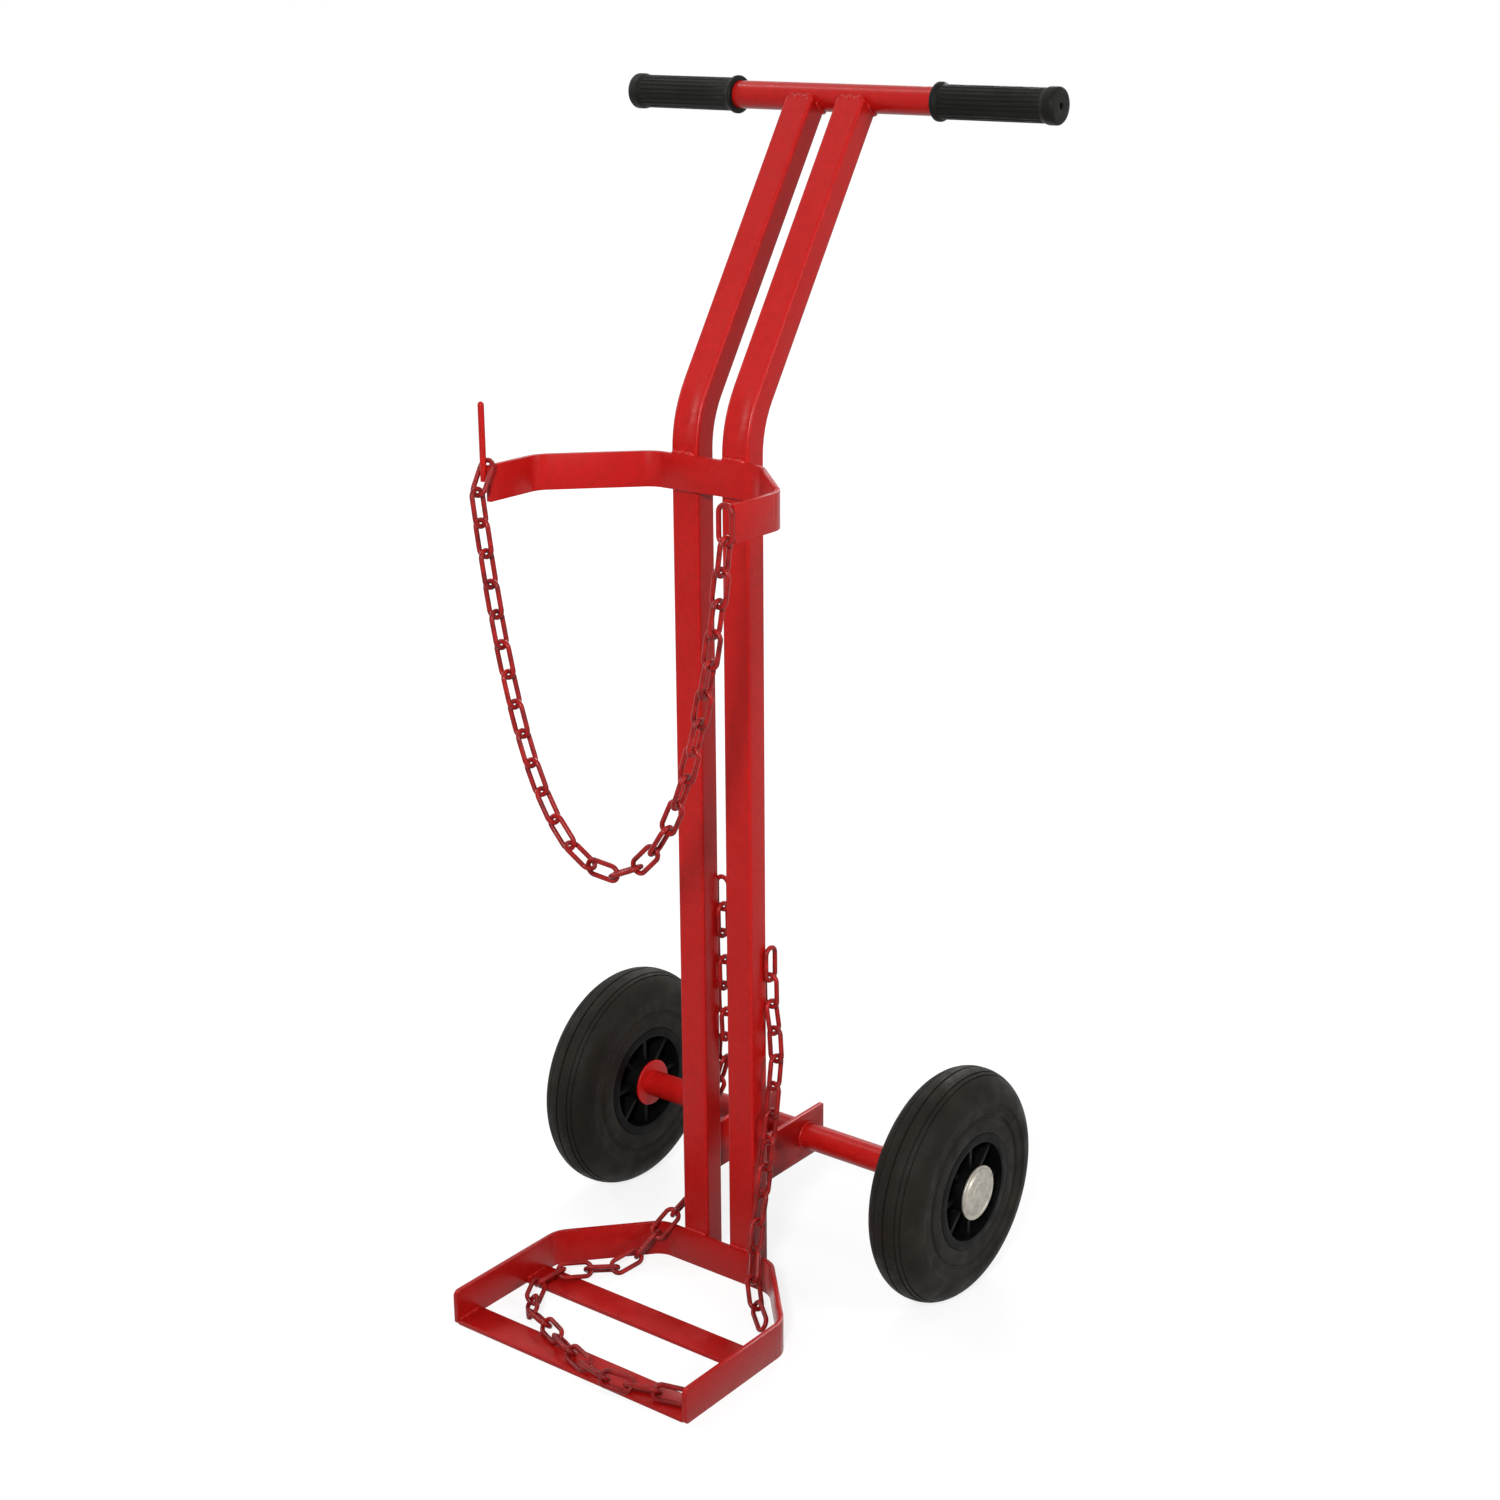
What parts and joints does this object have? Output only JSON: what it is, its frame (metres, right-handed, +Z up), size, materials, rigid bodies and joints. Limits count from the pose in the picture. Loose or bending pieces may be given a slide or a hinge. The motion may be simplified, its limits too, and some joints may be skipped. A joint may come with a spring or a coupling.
{
  "type": "gas cylinder trolley",
  "caption": "Gas cylinder hand trolley with bent uprights, a T handle with rubber grips, an open cradle and base of flat bar, retaining chains and rubber-tyred wheels.",
  "frame": {"origin": "on the floor, at the middle of the underside of the base's crossbar, about on the axis of a standing cylinder", "axes": "+X to the right as seen from the front, +Y from the open front to the wheels and handle, +Z up"},
  "size_m": [0.4082, 0.3941, 0.9789],
  "materials": {
    "red_paint": "gloss",
    "chain_paint": "gloss",
    "grip_rubber": "satin",
    "tyre_rubber": "matt",
    "rim_plastic": "satin",
    "axle_steel": "machined",
    "cap_zinc": "zinc plated",
    "bush_plastic": "matt"
  },
  "bodies": {
    "frame": {"left_upright": "red_paint", "right_upright": "red_paint", "handle_bar": "red_paint", "left_grip": "grip_rubber", "right_grip": "grip_rubber", "cradle_band": "red_paint", "chain_peg": "red_paint", "base_band": "red_paint", "base_front_bar": "red_paint", "base_crossbar": "red_paint", "left_gusset": "red_paint", "right_gusset": "red_paint", "axle_sleeve": "red_paint", "axle_shaft": "axle_steel", "left_collar": "red_paint", "right_collar": "red_paint", "left_hub_cap": "cap_zinc", "right_hub_cap": "cap_zinc", "peg_link": "chain_paint", "weld_link": "chain_paint", "left_lower_chain": "chain_paint", "right_lower_chain": "chain_paint"},
    "left_wheel": {"left_tyre": "tyre_rubber", "left_rim": "rim_plastic", "left_bush": "bush_plastic"},
    "right_wheel": {"right_tyre": "tyre_rubber", "right_rim": "rim_plastic", "right_bush": "bush_plastic"},
    "hanging_chain": {"retaining_chain": "chain_paint"}
  },
  "joints": [
    {"name": "left_wheel_spin", "type": "hinge", "parent": "frame", "child": "left_wheel", "pos_m": [-0.17405, 0.191, 0.1], "axis": [1, 0, 0], "continuous": true},
    {"name": "right_wheel_spin", "type": "hinge", "parent": "frame", "child": "right_wheel", "pos_m": [0.17405, 0.191, 0.1], "axis": [1, 0, 0], "continuous": true},
    {"name": "retaining_chain_swing", "type": "hinge", "parent": "frame", "child": "hanging_chain", "pos_m": [-0.1184, -0.0344, 0.68392], "axis": [0.9985, 0.0424, -0.0342], "range_deg": [-85, 3]}
  ]
}
